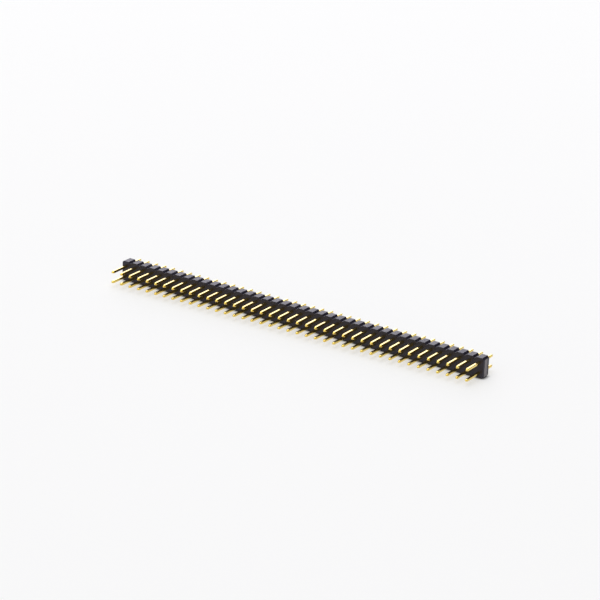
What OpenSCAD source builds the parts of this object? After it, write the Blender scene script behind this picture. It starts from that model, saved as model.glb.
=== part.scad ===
// Straight two-row pin header strip, lying on one long narrow side.
// X runs along the strip, the pins run along Y, and +Z is up.
// The mating ends of the pins point to -Y and the solder tails to +Y.
// The origin is at the middle of the length and of the pins' span, on the surface that the strip lies on.

/* [Grid] */
// Distance between neighbouring pins, along the strip and between the rows
pitch = 2.54; // [2.5:0.01:2.6]

/* [Insulator] */
// Height of the insulator across the two rows, as it lies
housing_h = 5.0; // [4.8:0.02:5.08]
// Thickness of the insulator along the pins
housing_t = 2.5; // [2.3:0.05:3.0]
// Width at the edge of the break notch between two columns
notch_w = 1.12; // [0.5:0.02:1.3]
// Width of the notch's flat floor
notch_floor = 0.16; // [0.1:0.02:0.3]
// Depth of the break notch
notch_d = 0.4; // [0.2:0.02:0.7]
// Width of the break groove down the board face, between two columns
groove_w = 0.44; // [0.36:0.02:0.6]
// Depth of the break groove
groove_d = 0.6; // [0.1:0.05:0.9]
// Chamfer on the mating-side corners of the two ends, along the strip
end_chamfer_x = 0.16; // [0.1:0.02:0.3]
// The same chamfer, along the pins
end_chamfer_y = 0.5; // [0.1:0.02:0.6]
// Step on the board-side corners of the two ends, along the strip
end_step_x = 0.1; // [0.05:0.01:0.2]
// The same step, along the pins
end_step_y = 0.9; // [0.2:0.05:1.2]
// Width of the square pocket round each pin on the board face
pocket_w = 1.1; // [0.8:0.02:1.3]
// Depth of the pocket round each pin on the board face
pocket_d = 0.25; // [0.1:0.05:0.5]

/* [Pins] */
// Side of the square pin
pin_s = 0.64; // [0.5:0.02:0.7]
// Length of the mating end, from the insulator to the tip
mating_l = 5.85; // [4:0.05:9]
// Length of the solder tail, from the insulator to the tip
tail_l = 3.65; // [2:0.05:4.5]
// Length of the four-sided taper at each end of a pin
taper_l = 0.55; // [0.3:0.05:0.8]
// Side of the small flat end of a pin
tip_s = 0.3; // [0.2:0.02:0.4]

/* [Hidden] */
pin_l = mating_l + housing_t + tail_l;
// The pins' span is centred on Y = 0
face_y = -pin_l / 2 + mating_l;
board_y = face_y + housing_t;
row_z = [housing_h / 2 - pitch / 2, housing_h / 2 + pitch / 2];
// Width of the flat floor in each break groove
groove_floor = 0.3;
eps = 0.01;

function column_x(i) = (i - (columns + 1) / 2) * pitch;
function joint_x(i) = (i - columns / 2) * pitch;

NODES = ["housing",
    "pin_pair_01", "pin_pair_02", "pin_pair_03", "pin_pair_04", "pin_pair_05",
    "pin_pair_06", "pin_pair_07", "pin_pair_08", "pin_pair_09", "pin_pair_10",
    "pin_pair_11", "pin_pair_12", "pin_pair_13", "pin_pair_14", "pin_pair_15",
    "pin_pair_16", "pin_pair_17", "pin_pair_18", "pin_pair_19", "pin_pair_20",
    "pin_pair_21", "pin_pair_22", "pin_pair_23", "pin_pair_24", "pin_pair_25",
    "pin_pair_26", "pin_pair_27", "pin_pair_28", "pin_pair_29", "pin_pair_30",
    "pin_pair_31", "pin_pair_32", "pin_pair_33", "pin_pair_34", "pin_pair_35",
    "pin_pair_36", "pin_pair_37", "pin_pair_38", "pin_pair_39", "pin_pair_40"];
// Every node but the insulator is one column of pins
columns = len(NODES) - 1;

// Outline of the insulator seen along the pins: one long strip, notched on both edges at every joint.
// The profile's second coordinate is the height, Z.
module strip_outline() {
    lower = [for (i = [0 : columns]) each
        i == 0 ? [[joint_x(0), notch_d], [joint_x(0) + notch_floor / 2, notch_d], [joint_x(0) + notch_w / 2, 0]]
        : i == columns ? [[joint_x(i) - notch_w / 2, 0], [joint_x(i) - notch_floor / 2, notch_d], [joint_x(i), notch_d]]
        : [[joint_x(i) - notch_w / 2, 0], [joint_x(i) - notch_floor / 2, notch_d],
           [joint_x(i) + notch_floor / 2, notch_d], [joint_x(i) + notch_w / 2, 0]]];
    upper = [for (i = [len(lower) - 1 : -1 : 0]) [lower[i][0], housing_h - lower[i][1]]];
    polygon(concat(lower, upper));
}

// Square openings for the pins, on the same profile
module pin_openings(side) {
    for (i = [1 : columns], z = row_z)
        translate([column_x(i) - side / 2, z - side / 2]) square([side, side]);
}

// A profile in X and Z, made solid from y0 to y1
module along_y(y0, y1) {
    translate([0, y1, 0]) rotate([90, 0, 0]) linear_extrude(height = y1 - y0) children();
}

// Break groove down the board face at one joint, with sloping sides and a flat floor
module break_groove(x) {
    translate([x, board_y, -eps]) linear_extrude(height = housing_h + 2 * eps)
        polygon([[-groove_w / 2, 0], [-groove_w / 2, 0.2], [groove_w / 2, 0.2],
                 [groove_w / 2, 0], [groove_floor / 2, -groove_d], [-groove_floor / 2, -groove_d]]);
}

// What is taken off the corners at one end of the strip, for dir = -1 or +1.
// It leaves a narrow web standing in the middle of the end.
module end_cut(dir) {
    e = dir * columns * pitch / 2;
    translate([0, 0, -eps]) linear_extrude(height = housing_h + 2 * eps) {
        polygon([[e - dir * end_chamfer_x, face_y - eps], [e + dir, face_y - eps], [e + dir, face_y + end_chamfer_y],
                 [e, face_y + end_chamfer_y]]);
        polygon([[e - dir * end_step_x, board_y + eps], [e + dir, board_y + eps],
                 [e + dir, board_y - end_step_y], [e - dir * end_step_x, board_y - end_step_y]]);
    }
}

module housing() {
    color([0.09, 0.09, 0.1])
    difference() {
        union() {
            along_y(face_y, board_y - pocket_d)
                difference() { strip_outline(); pin_openings(pin_s); }
            along_y(board_y - pocket_d, board_y)
                difference() { strip_outline(); pin_openings(pocket_w); }
        }
        for (i = [1 : columns - 1]) break_groove(joint_x(i));
        for (dir = [-1, 1]) end_cut(dir);
    }
}

// Half outline of a pin with both ends tapered, as seen from the side
module pin_profile() {
    h = pin_s / 2;
    t = tip_s / 2;
    a = pin_l / 2;
    polygon([[-t, -a], [t, -a], [h, -a + taper_l], [h, a - taper_l],
             [t, a], [-t, a], [-h, a - taper_l], [-h, -a + taper_l]]);
}

// One square pin, centred on its own axis
module pin() {
    intersection() {
        translate([0, 0, -pin_s / 2]) linear_extrude(height = pin_s) pin_profile();
        rotate([0, 90, 0]) translate([0, 0, -pin_s / 2]) linear_extrude(height = pin_s) pin_profile();
    }
}

// The lower and the upper pin of one column
module pin_pair(i) {
    color([0.86, 0.68, 0.28])
    for (z = row_z) translate([column_x(i), 0, z]) pin();
}

module pin_pair_01() { pin_pair(1); }
module pin_pair_02() { pin_pair(2); }
module pin_pair_03() { pin_pair(3); }
module pin_pair_04() { pin_pair(4); }
module pin_pair_05() { pin_pair(5); }
module pin_pair_06() { pin_pair(6); }
module pin_pair_07() { pin_pair(7); }
module pin_pair_08() { pin_pair(8); }
module pin_pair_09() { pin_pair(9); }
module pin_pair_10() { pin_pair(10); }
module pin_pair_11() { pin_pair(11); }
module pin_pair_12() { pin_pair(12); }
module pin_pair_13() { pin_pair(13); }
module pin_pair_14() { pin_pair(14); }
module pin_pair_15() { pin_pair(15); }
module pin_pair_16() { pin_pair(16); }
module pin_pair_17() { pin_pair(17); }
module pin_pair_18() { pin_pair(18); }
module pin_pair_19() { pin_pair(19); }
module pin_pair_20() { pin_pair(20); }
module pin_pair_21() { pin_pair(21); }
module pin_pair_22() { pin_pair(22); }
module pin_pair_23() { pin_pair(23); }
module pin_pair_24() { pin_pair(24); }
module pin_pair_25() { pin_pair(25); }
module pin_pair_26() { pin_pair(26); }
module pin_pair_27() { pin_pair(27); }
module pin_pair_28() { pin_pair(28); }
module pin_pair_29() { pin_pair(29); }
module pin_pair_30() { pin_pair(30); }
module pin_pair_31() { pin_pair(31); }
module pin_pair_32() { pin_pair(32); }
module pin_pair_33() { pin_pair(33); }
module pin_pair_34() { pin_pair(34); }
module pin_pair_35() { pin_pair(35); }
module pin_pair_36() { pin_pair(36); }
module pin_pair_37() { pin_pair(37); }
module pin_pair_38() { pin_pair(38); }
module pin_pair_39() { pin_pair(39); }
module pin_pair_40() { pin_pair(40); }

housing();
pin_pair_01();
pin_pair_02();
pin_pair_03();
pin_pair_04();
pin_pair_05();
pin_pair_06();
pin_pair_07();
pin_pair_08();
pin_pair_09();
pin_pair_10();
pin_pair_11();
pin_pair_12();
pin_pair_13();
pin_pair_14();
pin_pair_15();
pin_pair_16();
pin_pair_17();
pin_pair_18();
pin_pair_19();
pin_pair_20();
pin_pair_21();
pin_pair_22();
pin_pair_23();
pin_pair_24();
pin_pair_25();
pin_pair_26();
pin_pair_27();
pin_pair_28();
pin_pair_29();
pin_pair_30();
pin_pair_31();
pin_pair_32();
pin_pair_33();
pin_pair_34();
pin_pair_35();
pin_pair_36();
pin_pair_37();
pin_pair_38();
pin_pair_39();
pin_pair_40();
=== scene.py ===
import math

import bpy
from mathutils import Matrix, Vector


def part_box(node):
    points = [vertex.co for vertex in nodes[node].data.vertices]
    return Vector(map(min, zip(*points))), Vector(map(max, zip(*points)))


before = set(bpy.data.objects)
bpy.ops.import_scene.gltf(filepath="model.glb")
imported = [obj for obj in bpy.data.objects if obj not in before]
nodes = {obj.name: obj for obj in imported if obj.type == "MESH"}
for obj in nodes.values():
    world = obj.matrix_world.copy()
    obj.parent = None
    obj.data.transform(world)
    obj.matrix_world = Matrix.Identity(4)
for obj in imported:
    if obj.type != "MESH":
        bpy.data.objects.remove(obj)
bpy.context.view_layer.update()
housing = nodes["housing"]
pins = [nodes[n] for n in sorted(nodes) if n.startswith("pin_pair_")]

# ---------------------------------------------------------------- camera
# The photograph's view: a long lens, from the front right and a little above. Distances are in pitches of the pin grid.
PITCH = 0.00254
AZ, EL, ROLL = 32.44, 21.05, 2.31
FOCAL_PX, DIST, SHIFT_R, SHIFT_U = 2921.0, 270.84, -0.187, 1.356


def view_axes(az, el, roll):
    a, e, r = (math.radians(v) for v in (az, el, roll))
    back = Vector((math.sin(a) * math.cos(e), -math.cos(a) * math.cos(e), math.sin(e)))
    right = Vector((math.cos(a), math.sin(a), 0.0))
    up = back.cross(right)
    return math.cos(r) * right + math.sin(r) * up, -math.sin(r) * right + math.cos(r) * up, back


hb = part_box("housing")
anchor = Vector((0.0, hb[0].y + PITCH, (hb[0].z + hb[1].z) / 2))
R, U, B = view_axes(AZ, EL, ROLL)
cam_data = bpy.data.cameras.new("camera")
cam = bpy.data.objects.new("camera", cam_data)
bpy.context.scene.collection.objects.link(cam)
cam_data.sensor_fit = "HORIZONTAL"
cam_data.sensor_width = 36.0
cam_data.lens = FOCAL_PX / 600.0 * 36.0
cam_data.clip_start, cam_data.clip_end = 0.01, 20.0
place = anchor + PITCH * (B * DIST + R * SHIFT_R + U * SHIFT_U)
turn = Matrix((R, U, B)).transposed().to_4x4()
cam.matrix_world = Matrix.Translation(place) @ turn
bpy.context.scene.camera = cam

# ---------------------------------------------------------------- node helpers


class Tree:
    """A small helper that builds a node material."""

    def __init__(self, name):
        self.mat = bpy.data.materials.new(name)
        self.mat.use_nodes = True
        self.t = self.mat.node_tree
        self.t.nodes.clear()
        self.out = self.t.nodes.new("ShaderNodeOutputMaterial")
        self.bsdf = self.t.nodes.new("ShaderNodeBsdfPrincipled")
        self.link(self.bsdf.outputs[0], self.out.inputs["Surface"])

    def node(self, kind, **values):
        n = self.t.nodes.new(kind)
        for k, v in values.items():
            if k in n.inputs:
                n.inputs[k].default_value = v
            else:
                setattr(n, k, v)
        return n

    def link(self, a, b):
        self.t.links.new(a, b)

    def coords(self, scale=(1, 1, 1)):
        c = self.node("ShaderNodeTexCoord")
        m = self.node("ShaderNodeMapping")
        m.inputs["Scale"].default_value = scale
        self.link(c.outputs["Object"], m.inputs["Vector"])
        return m.outputs["Vector"]

    def axis(self, which):
        c = self.node("ShaderNodeTexCoord")
        s = self.node("ShaderNodeSeparateXYZ")
        self.link(c.outputs["Object"], s.inputs[0])
        return s.outputs[which]

    def noise(self, vec, scale, detail=3.0, rough=0.5):
        n = self.node("ShaderNodeTexNoise", Scale=scale, Detail=detail, Roughness=rough)
        self.link(vec, n.inputs["Vector"])
        return n.outputs["Fac"]

    def remap(self, value, a, b, c, d, clamp=True):
        n = self.node("ShaderNodeMapRange")
        n.clamp = clamp
        for i, v in zip((1, 2, 3, 4), (a, b, c, d)):
            n.inputs[i].default_value = v
        self.link(value, n.inputs[0])
        return n.outputs[0]

    def math(self, op, a, b=None):
        n = self.node("ShaderNodeMath")
        n.operation = op
        for i, v in enumerate((a, b)):
            if v is None:
                continue
            if isinstance(v, (int, float)):
                n.inputs[i].default_value = v
            else:
                self.link(v, n.inputs[i])
        return n.outputs[0]

    def mix(self, fac, a, b):
        n = self.node("ShaderNodeMix")
        n.data_type = "RGBA"
        if isinstance(fac, (int, float)):
            n.inputs["Factor"].default_value = fac
        else:
            self.link(fac, n.inputs["Factor"])
        for i, v in ((6, a), (7, b)):
            if isinstance(v, tuple):
                n.inputs[i].default_value = v
            else:
                self.link(v, n.inputs[i])
        return n.outputs[2]

    def bump(self, height, strength, distance, normal=None):
        n = self.node("ShaderNodeBump", Strength=strength, Distance=distance)
        self.link(height, n.inputs["Height"])
        if normal is not None:
            self.link(normal, n.inputs["Normal"])
        return n.outputs["Normal"]


# ---------------------------------------------------------------- black moulded plastic
def plastic():
    t = Tree("insulator")
    v = t.coords()
    grain = t.noise(v, 9000.0, 4.0, 0.6)
    flow = t.noise(t.coords((0.25, 1.0, 1.0)), 5200.0, 3.0, 0.55)
    patch = t.noise(v, 420.0, 2.0, 0.5)
    torn = t.noise(v, 3600.0, 6.0, 0.75)
    # The strip was snapped from a longer one at both ends: there the skin is gone and the filled core shows, greyer and rough.
    end = t.remap(t.math("ABSOLUTE", t.axis("X")), hb[1].x - 0.00004, hb[1].x - 0.00001, 0.0, 1.0)
    col = t.mix(t.remap(flow, 0.35, 0.75, 0.0, 1.0), (0.0110, 0.0085, 0.0185, 1), (0.0175, 0.0140, 0.0260, 1))
    col = t.mix(t.remap(patch, 0.4, 0.75, 0.0, 0.35), col, (0.0220, 0.0180, 0.0300, 1))
    core = t.mix(t.remap(torn, 0.38, 0.62, 0.0, 1.0), (0.120, 0.108, 0.118, 1), (0.300, 0.278, 0.288, 1))
    t.link(t.mix(end, col, core), t.bsdf.inputs["Base Color"])
    rough = t.math("ADD", t.remap(grain, 0.3, 0.7, 0.28, 0.40), t.remap(patch, 0.3, 0.7, -0.03, 0.05))
    t.link(t.math("ADD", rough, t.math("MULTIPLY", end, 0.2)), t.bsdf.inputs["Roughness"])
    t.bsdf.inputs["IOR"].default_value = 1.42
    n = t.bump(grain, 0.25, 0.00002)
    n = t.bump(flow, 0.15, 0.00003, n)
    n = t.bump(t.math("MULTIPLY", torn, end), 0.8, 0.00012, n)
    t.link(n, t.bsdf.inputs["Normal"])
    return t.mat


# ---------------------------------------------------------------- gold-plated pins
def gold():
    t = Tree("pins")
    streak = t.noise(t.coords((1.0, 0.04, 1.0)), 9000.0, 3.0, 0.6)
    blotch = t.noise(t.coords((1.0, 0.5, 1.0)), 900.0, 3.0, 0.55)
    each = t.noise(t.coords((1.0, 0.0, 1.0)), 260.0, 1.0, 0.5)
    col = t.mix(t.remap(blotch, 0.3, 0.7, 0.0, 1.0), (0.87, 0.64, 0.11, 1), (0.87, 0.68, 0.16, 1))
    col = t.mix(t.remap(each, 0.35, 0.65, 0.0, 0.4), col, (0.87, 0.59, 0.09, 1))
    t.link(col, t.bsdf.inputs["Base Color"])
    t.bsdf.inputs["Metallic"].default_value = 1.0
    # A thin clear film of contact lubricant, which pales what is seen at a low angle
    t.bsdf.inputs["Coat Weight"].default_value = 1.0
    t.bsdf.inputs["Coat Roughness"].default_value = 0.06
    t.bsdf.inputs["Coat IOR"].default_value = 1.5
    rough = t.math("ADD", t.remap(streak, 0.3, 0.7, 0.07, 0.15), t.remap(blotch, 0.3, 0.7, -0.01, 0.04))
    t.link(rough, t.bsdf.inputs["Roughness"])
    n = t.bump(streak, 0.2, 0.00001)
    t.link(n, t.bsdf.inputs["Normal"])
    return t.mat


# The nodes arrive as loose triangles, so they are welded and their flat faces joined before the edges are rounded.
# The weld also merges the four slivers of 0.026 mm at the ends of the insulator, which would stop the rounding.
def finish_node(obj, mat, width, segments):
    obj.data.materials.clear()
    obj.data.materials.append(mat)
    for p in obj.data.polygons:
        p.use_smooth = True
    w = obj.modifiers.new("weld", "WELD")
    w.merge_threshold = 0.000028
    f = obj.modifiers.new("flat", "DECIMATE")
    f.decimate_type = "DISSOLVE"
    f.angle_limit = math.radians(0.5)
    b = obj.modifiers.new("edge", "BEVEL")
    b.width = width
    b.segments = segments
    b.limit_method = "ANGLE"
    b.angle_limit = math.radians(14)
    n = obj.modifiers.new("normals", "WEIGHTED_NORMAL")
    n.mode = "FACE_AREA"
    n.weight = 100
    n.keep_sharp = False


black = plastic()
bright = gold()
finish_node(housing, black, 0.00004, 2)
for p in pins:
    finish_node(p, bright, 0.00013, 3)

# ---------------------------------------------------------------- floor and light
# A white table given a painted glow (emission) that lightens the shadows on it, so that they stay faint.
bpy.ops.mesh.primitive_plane_add(size=6.0, location=(0, 0, 0))
floor = bpy.context.object
floor.name = "floor"
fm = Tree("floor")
fv = fm.coords()
fm.link(
    fm.mix(fm.noise(fv, 3.0, 2.0), (0.385, 0.385, 0.385, 1), (0.405, 0.405, 0.405, 1)),
    fm.bsdf.inputs["Base Color"],
)
fm.bsdf.inputs["Roughness"].default_value = 0.8
fm.bsdf.inputs["Specular IOR Level"].default_value = 0.1
fm.bsdf.inputs["Emission Color"].default_value = (1.0, 1.0, 1.0, 1)
# The painted glow is dimmed by ambient occlusion where the strip touches the table: a painted contact shadow.
painted_contact_shade = fm.node("ShaderNodeAmbientOcclusion", Distance=0.0009)
painted_contact_shade.samples = 16
fm.link(fm.math("MULTIPLY", fm.math("POWER", painted_contact_shade.outputs["AO"], 2.4), 0.54), fm.bsdf.inputs["Emission Strength"])
floor.data.materials.append(fm.mat)

# Soft surroundings: white over the left and the rear left, darker towards the rear right, as in a tent that is open on that side.
# A second factor makes the tent brighter on the camera's side, where the strip doesn't mirror it.
world = bpy.data.worlds.new("studio")
bpy.context.scene.world = world
world.use_nodes = True
wt = world.node_tree
bg = wt.nodes["Background"]
wc = wt.nodes.new("ShaderNodeTexCoord")


def side(direction, a, low, b, high):
    dot = wt.nodes.new("ShaderNodeVectorMath")
    dot.operation = "DOT_PRODUCT"
    dot.inputs[1].default_value = Vector(direction).normalized()
    wt.links.new(wc.outputs["Generated"], dot.inputs[0])
    m = wt.nodes.new("ShaderNodeMapRange")
    m.interpolation_type = "SMOOTHSTEP"
    for i, v in zip((1, 2, 3, 4), (a, b, low, high)):
        m.inputs[i].default_value = v
    wt.links.new(dot.outputs["Value"], m.inputs[0])
    return m.outputs[0]


opening = side((0.60, 0.72, 0.34), 0.45, 1.0, 0.86, 0.04)
near = side((0.30, -0.90, 0.30), -0.30, 0.62, 0.50, 0.76)
product = wt.nodes.new("ShaderNodeMath")
product.operation = "MULTIPLY"
wt.links.new(opening, product.inputs[0])
wt.links.new(near, product.inputs[1])
wt.links.new(product.outputs[0], bg.inputs["Strength"])
bg.inputs["Color"].default_value = (1.0, 1.0, 1.0, 1)


def softbox(name, where, target, size, power, colour):
    data = bpy.data.lights.new(name, "AREA")
    data.shape = "RECTANGLE"
    data.size, data.size_y = size
    data.energy = power
    data.color = colour
    o = bpy.data.objects.new(name, data)
    bpy.context.scene.collection.objects.link(o)
    o.location = where
    o.rotation_mode = "QUATERNION"
    o.rotation_quaternion = (Vector(target) - Vector(where)).to_track_quat("-Z", "Y")
    return o


softbox("rear_left", (-1.15, 1.80, 0.86), (0, 0, 0), (1.9, 1.3), 16.0, (0.90, 0.87, 1.0))
softbox("overhead", (-0.20, 0.42, 1.75), (0, 0, 0), (1.7, 1.7), 16.0, (1.0, 1.0, 1.0))

bpy.context.scene.view_settings.view_transform = "Standard"
